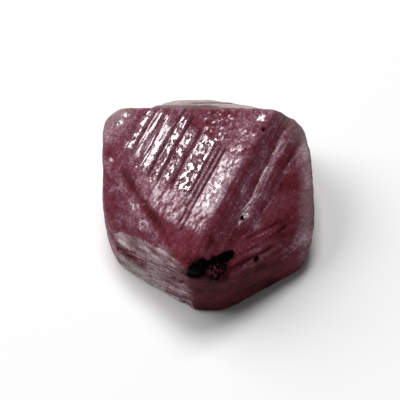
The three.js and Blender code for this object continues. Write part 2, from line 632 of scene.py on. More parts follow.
    def basal_relief(self, points: Array, _: Face) -> Array:
        """Grooves, lands, striae and etch pits of the upper basal face.

        Args:
            points: positions, one row each.
            _: the face that they lie on.

        Returns:
            Height of the relief at each point.
        """
        across, along = self.groove_frame(points)
        flat = pair(across, along)
        grain = self.grain
        lands = self.land_at(points)
        smooth_block = ramp(across, 1.5, 1.7)
        waver = 0.05 * grain.at(flat, 0.8, 2.6)
        relief = 0.03 * grain.layered(flat, 3.0, 3.0) - 0.05 * (1.0 - lands.cover)
        for groove in self.grooves:
            profile = ridge(across + waver, groove.across, groove.width)
            relief -= groove.depth * profile * window(along, groove.near, groove.far, 0.5)
        relief -= (0.045 - 0.035 * smooth_block) * lands.seams
        relief += lands.cover * 0.006 * grain.layered(flat + 2.0, 0.45, 0.7, layers=2)
        rest = 1.0 - lands.cover
        relief += rest * 0.03 * grain.layered(flat, 0.5, 0.9)
        relief += rest * 0.025 * grain.layered(flat, 0.14, 1.8, layers=2) * ramp(along, -4.5, -6.0)
        valley = ridge(self.towards_left(points) + waver, self.valley, 0.42)
        relief -= 0.085 * valley * ramp(points[:, 0], -9.0, -7.4) * ramp(points[:, 0], -3.0, -5.0)
        crack = ridge(along + 0.22 * (across + 0.3) + 2 * waver, 1.1, 0.09)
        relief -= 0.08 * crack * window(across, -2.6, 1.6, 0.5)
        rough = self.rough_patch(points)
        gap, value = grain.patches(across, along, 0.30, 0.42)
        chipped = 0.12 * (value - 0.5) * ramp(gap, 0.6, 0.3) + 0.05 * grain.layered(flat, 0.3, 0.3)
        return relief + rough * chipped

    # -------------------------------------------------------------- the other faces
    def waves(self, level: Array, rise: Array, waves: tuple[Wave, ...]) -> Array:
        """Adds up random waves on a face.

        Args:
            level: level distance along the face.
            rise: distance up its dip.
            waves: the layers of waves.

        Returns:
            Height of the waves at each point.
        """
        total = np.zeros(len(level))
        for wave in waves:
            flat = pair(level + wave.lean[0] * rise, rise + wave.lean[1] * level) + wave.shift
            total += wave.strength * self.grain.layered(flat, wave.length, wave.width, layers=wave.layers)
        return total

    def left_rhomb_relief(self, points: Array, face: Face) -> Array:
        """Shallow pits of the broad left face.

        Args:
            points: positions, one row each.
            face: the face that they lie on.

        Returns:
            Height of the pits at each point.
        """
        gap, value = self.grain.patches(*face.on_face(points), 0.55, 0.45)
        return -0.07 * ramp(gap, 0.5, 0.15) * (value > 0.72)

    def riser_relief(self, points: Array, face: Face) -> Array:
        """How far the lower riser falls back at both ends.

        Args:
            points: positions, one row each.
            face: the face that they lie on.

        Returns:
            Height of the relief at each point.
        """
        level, _ = face.on_face(points)
        lower = 1.0 if face.dip > 46.0 else 0.0
        return -lower * (0.45 * ramp(level, -4.0, -6.4) + 0.15 * ramp(level, 5.4, 7.5))

    def slope_relief(self, points: Array, face: Face) -> Array:
        """Ridges along the steps, and low waves that sweep over the foot of the slope.

        Args:
            points: positions, one row each.
            face: the face that they lie on.

        Returns:
            Height of the relief at each point.
        """
        place = face.on_face(points)
        _, out = self.step_frame(points)
        ridges = self.waves(*place, (SLOPE_RIDGES,)) * ramp(out, 5.2, 3.6)
        return ridges + self.waves(*place, (SLOPE_SWEEP,)) * ramp(out, 5.0, 6.5)

    def recess(self, level: Array, rise: Array) -> Array:
        """Where the long recess of the fibrous face is, 0 to 1.

        Args:
            level: level distance along the face.
            rise: distance up it.

        Returns:
            How far inside the recess each point lies.
        """
        flat = pair(level, rise)
        ragged = 0.10 * self.grain.layered(flat, 0.6, 0.4, layers=2)
        top = self.recess_top + self.recess_rise * (level - self.recess_middle)
        bottom = self.recess_foot + 0.10 * (level - self.recess_middle)
        inside = ramp(top - rise + ragged, -0.08, 0.08) * ramp(rise - bottom + ragged, -0.10, 0.10)
        return inside * window(level + ragged, -3.35, 0.45, 0.08)

    def fibres(self, level: Array, rise: Array) -> Array:
        """Height of the fibres that rise gently to the right, from -1 to 1.

        Args:
            level: level distance along the face.
            rise: distance up it.

        Returns:
            The height at each point.
        """
        return np.clip(self.waves(level, rise, FIBRES), -1.0, 1.0)

    def fibrous_relief(self, points: Array, face: Face) -> Array:
        """Fibres, and on the upright face gouges, a long recess and a notch at the left.

        Args:
            points: positions, one row each.
            face: the face that they lie on.

        Returns:
            Height of the relief at each point.
        """
        level, rise = face.on_face(points)
        specks = self.grain.layered(points, 0.3, 0.3, 0.3, layers=2)
        relief = 0.15 * self.fibres(level, rise) + 0.04 * specks
        if face.dip < 90.0:
            return relief
        recess = self.recess(level, rise)
        gouges = sum(gouge.at(level, rise) for gouge in self.gouges)
        notch = 0.22 * window(rise, 5.4, 6.4, 0.4) * ramp(level, -2.9, -3.6)
        above = rise - self.recess_top - self.recess_rise * (level - self.recess_middle)
        shelf = 0.10 * ramp(above, 0.85, 0.25) * window(level, -4.0, 0.6, 0.3)
        return relief * (1.0 - 0.6 * recess) + shelf - self.recess_depth * recess - gouges - notch

    def relief(self, face: Face, points: Array) -> Array:
        """Height of the relief of a face above its plane.

        Args:
            face: the face.
            points: positions, one row each.

        Returns:
            Height of the relief at each point.
        """
        features: dict[Skin, Callable[[Array, Face], Array]] = {
            Skin.BASAL: self.basal_relief,
            Skin.LEFT_RHOMB: self.left_rhomb_relief,
            Skin.RISER: self.riser_relief,
            Skin.SLOPE: self.slope_relief,
            Skin.FIBROUS: self.fibrous_relief,
        }
        height = self.waves(*face.on_face(points), FACE_WAVES.get(face.skin, ()))
        return height + features[face.skin](points, face) if face.skin in features else height

    # -------------------------------------------------------------- black mineral and chips
    def lode(self, points: Array) -> Array:
        """How deep a point lies in the black mineral: 0 outside, 0.5 at its edge and 1 inside.

        Args:
            points: positions, one row each.

        Returns:
            The depth at each point.
        """
        vein = self.vein
        start, run = np.array(vein.start), np.array(vein.end) - np.array(vein.start)
        share = np.clip((points - start) @ run / (run @ run), 0.0, 1.0)
        half = vein.thick - (vein.thick - vein.thin) * ramp(share, 0.12, 0.45)
        gap = apart(points, start + share[:, None] * run) / half
        for *place, size in vein.specks:
            gap = np.minimum(gap, apart(points, np.array(place)) / size)
        ragged = 0.50 * self.grain.layered(points, 0.6, 0.6, 0.6, layers=3)
        crumbs = 0.56 * ramp(apart(points, np.array(vein.crumbs)), 2.1, 0.9)
        return np.maximum(ramp(gap + ragged, 1.75, 0.35), crumbs)

    def chipping(self, points: Array) -> tuple[Array, Array]:
        """Depth of the chips at each point, and how pale they are there.

        Args:
            points: positions, one row each.

        Returns:
            The depth in millimetres, and the paleness from 0 to 1.
        """
        depth = np.zeros(len(points))
        pale = np.zeros(len(points))
        ragged = 0.35 * self.grain.layered(points, 0.22, 0.22, 0.22, layers=2)
        for chip in self.chips:
            gap = apart(points, np.array(chip.place)) / chip.size
            inside = ramp(gap + ragged, 1.3, 0.5)
            depth = np.maximum(depth, chip.depth * inside)
            pale = np.maximum(pale, chip.pale * inside)
        return depth, pale

    # -------------------------------------------------------------- surface
    def surface(self, directions: Array) -> Surface:
        """Finds the surface along rays from the middle of the crystal.

        Args:
            directions: unit vectors, one row each.

        Returns:
            Positions on the surface, and what it is like there.
        """
        middle = np.array(self.middle)
        count = len(directions)
        best = np.full(count, -1.0)
        height = np.zeros(count)
        shares = {skin: np.zeros(count) for skin in Skin}
        for tier in self.faces():
            reach, weights, reliefs = self._tier(tier, directions, middle)
            outer = reach > best
            best = np.where(outer, reach, best)
            height = np.where(outer, sum(w * r for w, r in zip(weights, reliefs)), height)
            for skin in Skin:
                share = sum((w for w, face in zip(weights, tier) if face.skin is skin), np.zeros(count))
                shares[skin] = np.where(outer, share, shares[skin])
        points = middle + directions * best[:, None]
        black = self.lode(points)
        chip_depth, pale = self.chipping(points)
        lumps = 0.10 * self.grain.layered(points, 0.40, 0.40, 0.40, layers=2)
        points = points - directions * (ramp(black, 0.45, 0.8) * (0.26 + lumps) + chip_depth)[:, None]
        points[:, 2] = np.maximum(points[:, 2], 0.0)
        return Surface(points, shares, height, black, pale)

    def _tier(self, tier: list[Face], directions: Array, middle: Array) -> tuple[Array, Array, Array]:
        """Measures one tier.

        Args:
            tier: the faces that bound it.
            directions: unit vectors, one row each.
            middle: where they start.

        Returns:
            Distance to the tier's worn surface, and each face's share of it and relief.
        """
        planes = []
        for face in tier:
            closing = directions @ face.normal
            facing = closing > 0.02
            gap = face.offset - float(face.normal @ middle)
            planes.append(np.where(facing, gap / np.where(facing, closing, 1.0), 99.0))
        planes = np.stack(planes)
        outermost = planes.min(axis=0)
        reliefs = np.zeros_like(planes)
        for face, distance, relief in zip(tier, planes, reliefs):
            near = distance < outermost + self.relief_margin
            rays = directions[near]
            raised = self.relief(face, middle + rays * distance[near, None])
            relief[near] = raised / np.maximum(rays @ face.normal, 0.25)
        reaches = planes + reliefs
        nearest = reaches.min(axis=0)
        place = middle + directions * nearest[:, None]
        sharp = self.edge_sharpness * (1.0 + 0.45 * self.grain.layered(place, 1.3, 1.3, 1.3))
        weight = np.exp(-sharp * (reaches - nearest))
        total = weight.sum(axis=0)
        ragged = 0.20 * self.grain.layered(place, 0.55, 0.55, 0.55, layers=2)
        swing = np.array([math.cos(math.radians(3.0 * face.azimuth)) for face in tier])
        share = np.exp(-3.0 * sharp * (reaches - nearest + swing[:, None] * ragged))
        return nearest - np.log(total) / sharp, share / share.sum(axis=0), reliefs


# ------------------------------------------------------------------------------ tones
@dataclass
class CrystalTones:
    """What the finish needs to know at each point of the crystal.

    Every value runs from 0 to 1. Frosting makes the ruby paler and duller, painted glints make it paler,
    weathering and painted grazing reflection make it greyer, painted shade makes it darker, and shine makes
    it glassy.

    Attributes:
        form: the crystal's shape.
        apron_line: upper edge of the fibrous growth on the broad left face, as positions on it.
        clusters: clusters of small sparkling crystals on the broad left face, as painted glints.
        pool: dark pool on the broad left face, at the front.
        pale_foot: weathered place at the foot of the fibrous face.
        back_left, back_right: the ways to the two worn corners at the back.
    """

    form: CrystalForm
    apron_line: tuple[tuple[float, float], ...] = (
        (-1.0, -6.0), (0.8, -2.2), (1.5, -1.0), (3.0, 0.3), (5.0, 1.4), (6.0, 2.3), (7.0, 3.1), (8.0, 3.4))
    clusters: tuple[Mark, ...] = (
        Mark(0.7, 2.5, 0.55, 0.40, 1.0),
        Mark(1.45, 3.3, 0.35, 0.45, 0.8),
        Mark(-3.9, 3.4, 0.25, 0.35, 0.8),
    )
    pool: Mark = Mark(7.2, 4.4, 1.6, 1.2, 0.25)
    pale_foot: Mark = Mark(-1.0, 1.6, 1.3, 1.2, 0.40)
    back_left: tuple[float, float, float] = (-0.8, 0.6, 0.0)
    back_right: tuple[float, float, float] = (0.7, 0.7, 0.0)

    @property
    def grain(self) -> GrainField:
        """The crystal's own random field."""
        return self.form.grain

    def at(self, surface: Surface) -> dict[str, Array]:
        """Works the values out, by name, for each point of a surface.

        Args:
            surface: the surface.

        Returns:
            Each value's name, and its amount at each point.
        """
        points, height = surface.points, surface.height
        shares = dict(surface.shares)
        apron = self._apron(points)
        spill = apron * shares[Skin.LEFT_RHOMB] - (1.0 - apron) * shares[Skin.FIBROUS]
        shares[Skin.FIBROUS] = shares[Skin.FIBROUS] + spill
        shares[Skin.LEFT_RHOMB] = shares[Skin.LEFT_RHOMB] - spill
        frosting: dict[Skin, Array] = {
            Skin.BASAL: self._basal(points),
            Skin.LEFT_RHOMB: self._left(points, height),
            Skin.RISER: self._riser(points),
            Skin.TREAD: self._tread(points, height),
            Skin.SLOPE: self._slope(points, height),
            Skin.CORNER: self._slope(points, height) + 0.4 * height,
            Skin.FIBROUS: self._fibrous(points),
            Skin.GLASSY: self._glassy(points, height),
            Skin.PRISM: 0.47 + 1.2 * height + 0.20 * self.grain.layered(points, 5.0, 5.0, 0.36, layers=3),
            Skin.PLATE: 0.58 + 0.75 * self._ledges(points) + 0.22 * self._plate_sheen(points),
            Skin.BASE: np.full(len(points), 0.35),
        }
        veil = sum(shares[skin] * value for skin, value in frosting.items())
        weather_and_sheen = self._weather_and_sheen(points, shares, height)
        lands = self.form.land_at(points)
        on_top = ramp(shares[Skin.BASAL], 0.5, 0.8)
        pale = surface.pale
        rough = self.form.rough_patch(points) * on_top
        flecks = rough * ramp(self.grain.at(points, 0.22, 0.22, 0.5), 0.05, 0.40)
        # pale chips and flecks: partly pale fresh breaks, partly painted glints
        veil = np.maximum(veil - 0.55 * np.minimum(surface.black, 0.5), 0.95 * pale) + 0.40 * flecks
        seams = 0.6 * lands.seams * (1.0 - ramp(self.form.groove_frame(points)[0], 1.5, 1.7))
        # painted shade: darker in the low places and block seams of the upper face, in the dark fibre
        # furrows, under the recess's upper edge, and along the back plate's low ledges and root
        painted_shade = np.maximum.reduce([
            on_top * np.maximum(ramp(height, -0.09, -0.17), seams),
            0.7 * shares[Skin.FIBROUS] * ramp(self._fibre(points), -0.16, -0.34),
            0.8 * shares[Skin.FIBROUS] * self._brow_shadow(points),
            0.75 * shares[Skin.PLATE] * ramp(self._ledges(points), -0.05, -0.30),
        ])
        glints = self._glints(points) * shares[Skin.LEFT_RHOMB]
        gleam = np.maximum.reduce([lands.shine * on_top, 0.8 * pale, 0.8 * flecks, glints])
        # the glints pale the colour: painted glints
        values = {"veil": veil + 0.5 * glints, "weather_and_sheen": weather_and_sheen, "shine": gleam * (1.0 - 0.8 * painted_shade),
                  "striae": lands.striae * on_top, "painted_shade": painted_shade, "black": surface.black}
        return {name: np.clip(value, 0.0, 1.0) for name, value in values.items()}

    def _left_frame(self, points: Array) -> tuple[Array, Array]:
        """Positions on the broad left face."""
        left = next(face for face in self.form.faces()[0] if face.skin is Skin.LEFT_RHOMB)
        return left.on_face(points)

    def _apron(self, points: Array) -> Array:
        """Where the fibrous growth of the front left side laps over the broad left face.

        Args:
            points: positions, one row each.

        Returns:
            1 where it does, 0 where it doesn't.
        """
        level, rise = self._left_frame(points)
        ragged = 0.22 * self.grain.layered(pair(level, rise), 0.7, 0.4, layers=2)
        line = np.interp(level, *zip(*self.apron_line))
        return ramp(line - rise + ragged, -0.08, 0.08)

    def _fibre(self, points: Array) -> Array:
        """Light and dark fibres of the front left side; above 0 is light.

        Args:
            points: positions, one row each.

        Returns:
            The fibres' lightness at each point.
        """
        level, rise = self.form.fibre_frame(points)
        streak = self.grain.layered(pair(level, rise - 0.45 * level), 1.2, 0.22, layers=2)
        return 0.5 * self.form.fibres(level, rise) + 0.35 * streak

    def _fibrous(self, points: Array) -> Array:
        """Frosting of the fibrous face: streaked, with painted shade in the recess, and darker towards the
        front edge.
        """
        front = ramp(self.form.fibre_frame(points)[0], 1.5, 4.0)
        return 0.61 + 1.15 * self._fibre(points) - 0.22 * self._recessed(points) - 0.13 * front

    def _recessed(self, points: Array) -> Array:
        """Where the long recess of the fibrous face is, 0 to 1."""
        return self.form.recess(*self.form.fibre_frame(points)) * ramp(points[:, 1], -5.0, -6.0)

    def _brow_shadow(self, points: Array) -> Array:
        """Painted shadow: the dark line under the upper edge of that recess, 0 to 1."""
        above = np.array([0.0, 0.0, 0.32])
        return np.clip(self._recessed(points) - self._recessed(points + above), 0.0, 1.0)

    def _ledges(self, points: Array) -> Array:
        """Light and dark ledges of the back plate, and painted shade at its root along the upper face.

        Args:
            points: positions, one row each.

        Returns:
            Their lightness at each point.
        """
        x, _, z = points.T
        lines = self.grain.layered(pair(x, z + 0.05 * x), 4.0, 0.62, layers=2)
        # the root along the upper face is darker: painted shade
        return 0.6 * lines - 0.5 * ramp(z, self.form.height - 0.75, self.form.height - 0.1)

    def _plate_sheen(self, points: Array) -> Array:
        """Where the back plate is greyed by painted grazing reflection: all of its top and less and less
        further down.
        """
        ragged = 2.2 * self.grain.layered(points, 2.4, 2.4, 1.2, layers=3)
        return 0.25 + 0.75 * ramp(points[:, 2] + ragged, 3.0, 7.0)

    def _left(self, points: Array, height: Array) -> Array:
        """Frosting of the broad left face: mottled, smoother along its top and darker at its foot.

        Args:
            points: positions, one row each.
            height: height of the relief at each of them.

        Returns:
            The frosting at each point.
        """
        level, rise = self._left_frame(points)
        mottle = 0.18 * self.grain.layered(pair(level, rise), 0.9, 0.7, layers=3) + 0.8 * height
        strip = ramp(rise, 3.9, 4.5)
        crescent = ridge(np.hypot(level - 3.1, rise - 2.05), 0.55, 0.13) * ramp(level, 3.30, 2.95)
        foot = 0.14 * ramp(rise, 2.4, 0.8)
        dark = 0.02 * strip + self.pool.at(level, rise) + foot
        return 0.50 + mottle * (1.0 - 0.7 * strip) + 0.4 * crescent - dark

    def _glints(self, points: Array) -> Array:
        """Painted glints: clusters of small sparkling crystals on the broad left face, which pale the
        colour and get a glassy coat.

        Args:
            points: positions, one row each.

        Returns:
            How bright the clusters are at each point.
        """
        level, rise = self._left_frame(points)
        cluster = 0.06 + sum(mark.at(level, rise) for mark in self.clusters)
        gap, value = self.grain.patches(level, rise, 0.34, 0.30)
        return ramp(gap, 0.42, 0.20) * ramp(value * np.clip(2.2 * cluster, 0.0, 1.0), 0.35, 0.6)

    def _basal(self, points: Array) -> Array:
        """Frosting of the upper basal face: lands paled partly by frosting and partly by a painted glint, a
        streaked front, a dark back and tip, and painted shade along the valley.

        Args:
            points: positions, one row each.

        Returns:
            The frosting at each point.
        """
        across, along = self.form.groove_frame(points)
        flat = pair(across, along)
        lands = self.form.land_at(points)
        clouds = self.grain.layered(flat, 1.3, 1.3)
        front = window(along + 0.3 * clouds, -7.8, -5.2, 0.5) * window(across, -2.4, 2.8, 0.8)
        back = window(across, -3.2, 0.6, 0.5) * ramp(along, 0.8, 1.5)
        block = window(across, 1.55, 3.45, 0.1) * window(along, -6.0, 0.3, 0.2)
        tip = ramp(along, -7.6, -9.0)
        towards_left = self.form.towards_left(points)
        # valley: painted shade along the valley beside the broad left face
        valley = ridge(towards_left, self.form.valley, 0.50) * ramp(points[:, 0], -3.2, -5.0)
        right = ramp(across, 3.4, 4.2)
        corner = ramp(points @ np.array(self.back_left), 6.9, 8.6)
        streaks = self.grain.layered(flat + 4.0, 0.17, 0.5, layers=2)
        front = front * ramp(towards_left, 8.0, 7.2)
        # the lands and the block are paler partly from frosting and partly as a painted glint
        return (0.48 + 0.10 * clouds + 0.13 * lands.cover + 0.22 * block + 0.12 * corner
                + front * (0.20 + 0.45 * streaks) + 0.14 * streaks
                - 0.15 * back - 0.22 * tip - 0.17 * valley - 0.06 * right)

    def _riser(self, points: Array) -> Array:
        """Frosting of the risers: cloudy and lined, more towards the back and less at the front.

        Args:
            points: positions, one row each.

        Returns:
            The frosting at each point.
        """
        along, out = self.form.step_frame(points)
        clouds = self.grain.layered(points, 1.2, 1.2, 1.2, layers=2)
        streaks = self.grain.layered(pair(along, out), 0.30, 1.6, layers=2)
        lines = self.grain.layered(pair(along, out + 0.1 * along), 2.6, 0.22, layers=2)
        ends = 0.10 * ramp(along, 3.5, 6.0) - 0.08 * window(along, -7.4, -4.4, 1.0)
        return 0.37 + 0.20 * clouds + 0.09 * streaks + 0.14 * lines + ends

    def _tread(self, points: Array, height: Array) -> Array:
        """Frosting of the treads: strong in the middle of each and gone at its ends, with a painted
        highlight along a crest.

        Args:
            points: positions, one row each.
            height: height of the relief at each of them.

        Returns:
            The frosting at each point.
        """
        along, out = self.form.step_frame(points)
        fall = out + 0.1 * along
        upper = window(along, -4.2, 5.6, 1.2) * ramp(fall, 3.3, 3.1)
        lower = 0.9 * window(along, -3.4, 3.8, 1.0) * ramp(fall, 3.1, 3.3)
        lines = 0.26 * self.grain.layered(pair(along, fall), 2.2, 0.15, layers=2)
        # crest: painted highlight along the upper tread's crest
        crest = ridge(fall, 2.12, 0.15) * window(along, -3.6, 1.5, 1.0)
        return 0.26 + (0.40 + 1.2 * height + lines) * np.maximum(upper, lower) + 0.18 * crest

    def _sweep(self, points: Array) -> Array:
        """Fine pale lines that sweep over the front of the lower slope, from -1 to 1.

        Args:
            points: positions, one row each.

        Returns:
            The lines' lightness at each point.
        """
        x, y, z = points.T
        lines = self.grain.layered(pair(x, y - 0.70 * x - 0.03 * (x - 5.0) ** 2), 2.6, 0.26, layers=2)
        return lines * ramp(y, -5.2, -7.4) * ramp(z, 2.2, 3.2)

    def _slope(self, points: Array, height: Array) -> Array:
        """Frosting of the lower slope: deep red, with painted grazing reflection towards its right-hand and
        back edges.

        Args:
            points: positions, one row each.
            height: height of the relief at each of them.

        Returns:
            The frosting at each point.
        """
        # rim: painted grazing reflection near the right prism face and towards the back
        inset = self.form.right_reach - points @ heading(self.form.right_azimuth)
        back = points @ heading(self.form.back_azimuth)
        rim = np.maximum(ramp(inset, 3.0, 0.4), ramp(back, 5.6, 8.0))
        mottle = 0.12 * self.grain.layered(points, 0.7, 0.7, 0.7, layers=3)
        along, out = self.form.step_frame(points)
        broken = ramp(self.grain.at(pair(along, out), 0.5, 0.5), -0.6, 0.2)
        edge = ridge(out + 0.1 * along, 3.55, 0.12) * window(along, -3.4, 3.8, 1.0) * broken
        pools = 0.20 * self.grain.layered(points, 1.9, 1.9, 1.9, layers=2)
        return 0.20 + 1.1 * height + mottle + pools + 0.36 * rim + 0.45 * self._sweep(points) + 0.34 * edge

    def _glassy(self, points: Array, height: Array) -> Array:
        """Frosting of the front faces: hardly any at the tip, more towards the right, where the paler tone
        is a painted reflection.
        """
        level = points @ beside(self.form.front_azimuth)
        return 0.09 + 0.8 * height + 0.41 * ramp(level, 0.8, 4.5)

    def _weather_and_sheen(self, points: Array, shares: dict[Skin, Array], height: Array) -> Array:
        """Greyness: painted grazing reflection on the back plate and along the right rim, weathering on the
        fibrous face and the worn corners, and some towards the back.

        Args:
            points: positions, one row each.
            shares: each skin's share of a point.
            height: height of the relief at each of them.

        Returns:
            The greyness at each point.
        """
        level, rise = self.form.fibre_frame(points)
        recess = self.form.recess(level, rise)
        # less grey in the recess: painted shade
        fibrous = 0.34 + 0.8 * height - 0.22 * recess - 0.14 * ramp(level, 1.5, 4.0)
        fibrous = fibrous + self.pale_foot.at(level, rise)
        left_corner = ramp(points @ np.array(self.back_left), 7.4, 9.4)
        right_corner = ramp(points @ np.array(self.back_right), 6.2, 8.4)
        # rim: painted grazing reflection along the right edge
        rim = ramp(points[:, 0], 8.4, 9.8) * ramp(rise, 0.5, 6.0)
        corners = 0.35 * np.maximum(left_corner, right_corner) + 0.28 * rim
        back = ramp(points[:, 1], 3.6, 5.5) * 0.2
        # plate: painted grazing reflection greys the back plate
        plate = (0.72 + 0.5 * self._ledges(points)) * self._plate_sheen(points)
        spare = 1.0 - shares[Skin.FIBROUS] - shares[Skin.PLATE]
        return shares[Skin.FIBROUS] * fibrous + shares[Skin.PLATE] * plate + spare * (corners + back)


# ------------------------------------------------------------------------------ finish
@dataclass(frozen=True)
class RubyFinish:
    """Natural corundum: glassy where fresh, frosted by etching and mica-fine scale elsewhere.

    Chromium makes it wine red; frosting turns it mauve, and weathering and painted grazing reflection
    grey it. Corundum's index is 1.77, which the glassy skin on the lands has. The worn surface under it
    scatters more than it reflects, so its index and its specular level are lower.

    Attributes:
        deep, crimson, wine, mauve, frost, chalk: colours from fresh to fully frosted.
        frosted_at: how frosted the four colours between deep and chalk stand for.
        grey: colour of weathered places and of painted grazing reflection.
        mineral: colour of the black mineral.
        ior, specular, glossy, matt: the worn surface, with its roughness where it is fresh
            and where it is frosted.
        dull: roughness of the black mineral.
        skin_ior, skin_roughness: the glassy skin.
        cloud_mm: width of the clouds in the frosting.
        grain_mm: width of the etched grain; it is drawn coarser than real grain, to show.
        fleck_mm: distance between pale flecks, which also paint tiny glints.
        etch_mm, stria_mm: width of the etched patches and of the striae on the lands.
        crumb_mm: size of the crumbs at the edge of the black mineral.
        cloud_depth, fleck_depth, shade_depth: how much clouds, pale flecks and the painted shade in hollows
            change the tone.
        mineral_edge: depth in the black mineral, with its crumbs, where it starts and is full.
        bump_mm, bump_strength: height of the etched grain, and how strongly it shows.
        grain_depth: how much the grain does, for each unit of frosting and without any.
        groove_azimuth: direction of the growth grooves in plan, in degrees.
    """

    deep: str = "#3c1318"
    crimson: str = "#6a2832"
    wine: str = "#6d3a48"
    mauve: str = "#855a68"
    frost: str = "#ab8490"
    chalk: str = "#d3c3ca"
    frosted_at: tuple[float, ...] = (0.24, 0.42, 0.56, 0.78)
    grey: str = "#a39b96"
    mineral: str = "#0a0807"
    ior: float = 1.6
    specular: float = 0.02
    glossy: float = 0.45
    matt: float = 0.70
    dull: float = 0.75
    skin_ior: float = 1.77
    skin_roughness: float = 0.12
    cloud_mm: float = 1.28
    grain_mm: float = 0.208
    fleck_mm: float = 0.95
    etch_mm: float = 0.14
    crumb_mm: float = 0.36
    stria_mm: float = 0.10
    cloud_depth: float = 0.11
    fleck_depth: float = 0.28
    shade_depth: float = 0.75
    mineral_edge: tuple[float, float] = (0.98, 1.06)
    bump_mm: float = 0.05
    bump_strength: float = 0.85
    grain_depth: tuple[float, float] = (0.20, 0.06)
    groove_azimuth: float = 63.5

    def material(self) -> bpy.types.Material:
        """Builds the node material.

        Returns:
            The material.
        """
        material = bpy.data.materials.new("natural corundum")
        material.use_nodes = True
        tree = material.node_tree
        shader = tree.nodes["Principled BSDF"]
        shader.inputs["IOR"].default_value = self.ior
        shader.inputs["Specular IOR Level"].default_value = self.specular
        shader.inputs["Coat IOR"].default_value = self.skin_ior
        shader.inputs["Coat Roughness"].default_value = self.skin_roughness

        place = add_node(tree, "ShaderNodeTexCoord")["Object"]
        veil, weather_and_sheen, shine, striae, painted_shade, black = [
            add_node(tree, "ShaderNodeAttribute", {"attribute_name": name})["Fac"]
            for name in ("veil", "weather_and_sheen", "shine", "striae", "painted_shade", "black")]

        clouds, grain = [
            add_node(tree, "ShaderNodeTexNoise", {}, {
                "Vector": place, "Scale": 1.0 / (width * MM), "Detail": detail})
            for width, detail in ((self.cloud_mm, 4.0), (self.grain_mm, 3.0))]
        cells = add_node(tree, "ShaderNodeTexVoronoi", {}, {
            "Vector": place, "Scale": 1.0 / (self.fleck_mm * MM), "Randomness": 1.0})

        along = add_node(tree, "ShaderNodeVectorRotate", {"rotation_type": "Z_AXIS"}, {
            "Vector": place, "Angle": math.radians(-self.groove_azimuth)})["Vector"]
        etched = self._streaks(tree, along, self.etch_mm, stretch=1.6, low=0.43, high=0.54)
        lined = self._streaks(tree, along, self.stria_mm, stretch=16.0, low=0.47, high=0.56)
        etch = add_node(tree, "ShaderNodeMix", {"data_type": "FLOAT"}, {0: striae, 2: etched, 3: lined})[0]
        gleam = add_node(tree, "ShaderNodeMath", {"operation": "MULTIPLY"}, {0: shine, 1: etch})["Value"]
        pits = add_node(tree, "ShaderNodeMath", {"operation": "SUBTRACT"}, {0: shine, 1: gleam})["Value"]
        shade = add_node(tree, "ShaderNodeMath", {"operation": "MAXIMUM"}, {0: painted_shade, 1: pits})["Value"]

        crumbs = add_node(tree, "ShaderNodeTexNoise", {}, {
            "Vector": place, "Scale": 1.0 / (self.crumb_mm * MM), "Detail": 2.0})["Fac"]
        lode = add_node(tree, "ShaderNodeMath", {"operation": "ADD"}, {0: black, 1: crumbs})["Value"]
        black = add_node(tree, "ShaderNodeMapRange", {"interpolation_type": "SMOOTHSTEP"}, {
            "Value": lode, "From Min": self.mineral_edge[0], "From Max": self.mineral_edge[1],
            "To Min": 0.0, "To Max": 1.0})["Result"]

        cloud_shift = add_node(tree, "ShaderNodeMapRange", {}, {
            "Value": clouds["Fac"], "From Min": 0.3, "From Max": 0.7,
            "To Min": -self.cloud_depth, "To Max": self.cloud_depth})["Result"]
        coarse = add_node(tree, "ShaderNodeMath", {"operation": "MULTIPLY_ADD"}, {
            0: veil, 1: self.grain_depth[0], 2: self.grain_depth[1]})["Value"]
        centred = add_node(tree, "ShaderNodeMapRange", {}, {
            "Value": grain["Fac"], "From Min": 0.3, "From Max": 0.7,
            "To Min": -1.0, "To Max": 1.0})["Result"]
        grain_shift = add_node(tree, "ShaderNodeMath", {"operation": "MULTIPLY"}, {
            0: centred, 1: coarse})["Value"]
        # pale flecks: pale specks that also paint tiny glints
        fleck = add_node(tree, "ShaderNodeMapRange", {"interpolation_type": "SMOOTHSTEP"}, {
            "Value": cells["Distance"], "From Min": 0.13, "From Max": 0.04,
            "To Min": 0.0, "To Max": self.fleck_depth})["Result"]
        shift = add_node(tree, "ShaderNodeMath", {"operation": "ADD"}, {
            0: cloud_shift, 1: grain_shift})["Value"]
        speckle = add_node(tree, "ShaderNodeMath", {"operation": "ADD"}, {0: shift, 1: fleck})["Value"]
        frosting = add_node(tree, "ShaderNodeMath", {"operation": "ADD", "use_clamp": True}, {
            0: veil, 1: speckle})["Value"]

        body = add_node(tree, "ShaderNodeValToRGB", {}, {"Fac": frosting})["Color"]
        tones = body.node.color_ramp
        tones.elements[0].color = linear(self.deep)
        tones.elements[1].color = linear(self.chalk)
        for position, tone in zip(self.frosted_at, (self.crimson, self.wine, self.mauve, self.frost)):
            tones.elements.new(position).color = linear(tone)

        # grey mix: weathering, and painted grazing reflection on the back plate and the right rim
        weathered = add_node(tree, "ShaderNodeMix", {"data_type": "RGBA"}, {
            0: weather_and_sheen, 6: body, 7: linear(self.grey)})[2]
        # painted shade: the hollows, and the parts of the lands that don't glint, are darkened towards the
        # deep colour
        depth = add_node(tree, "ShaderNodeMath", {"operation": "MULTIPLY"}, {
            0: shade, 1: self.shade_depth})["Value"]
        shaded = add_node(tree, "ShaderNodeMix", {"data_type": "RGBA"}, {
            0: depth, 6: weathered, 7: linear(self.deep)})[2]
        colour = add_node(tree, "ShaderNodeMix", {"data_type": "RGBA"}, {
            0: black, 6: shaded, 7: linear(self.mineral)})[2]
        tree.links.new(colour, shader.inputs["Base Color"])

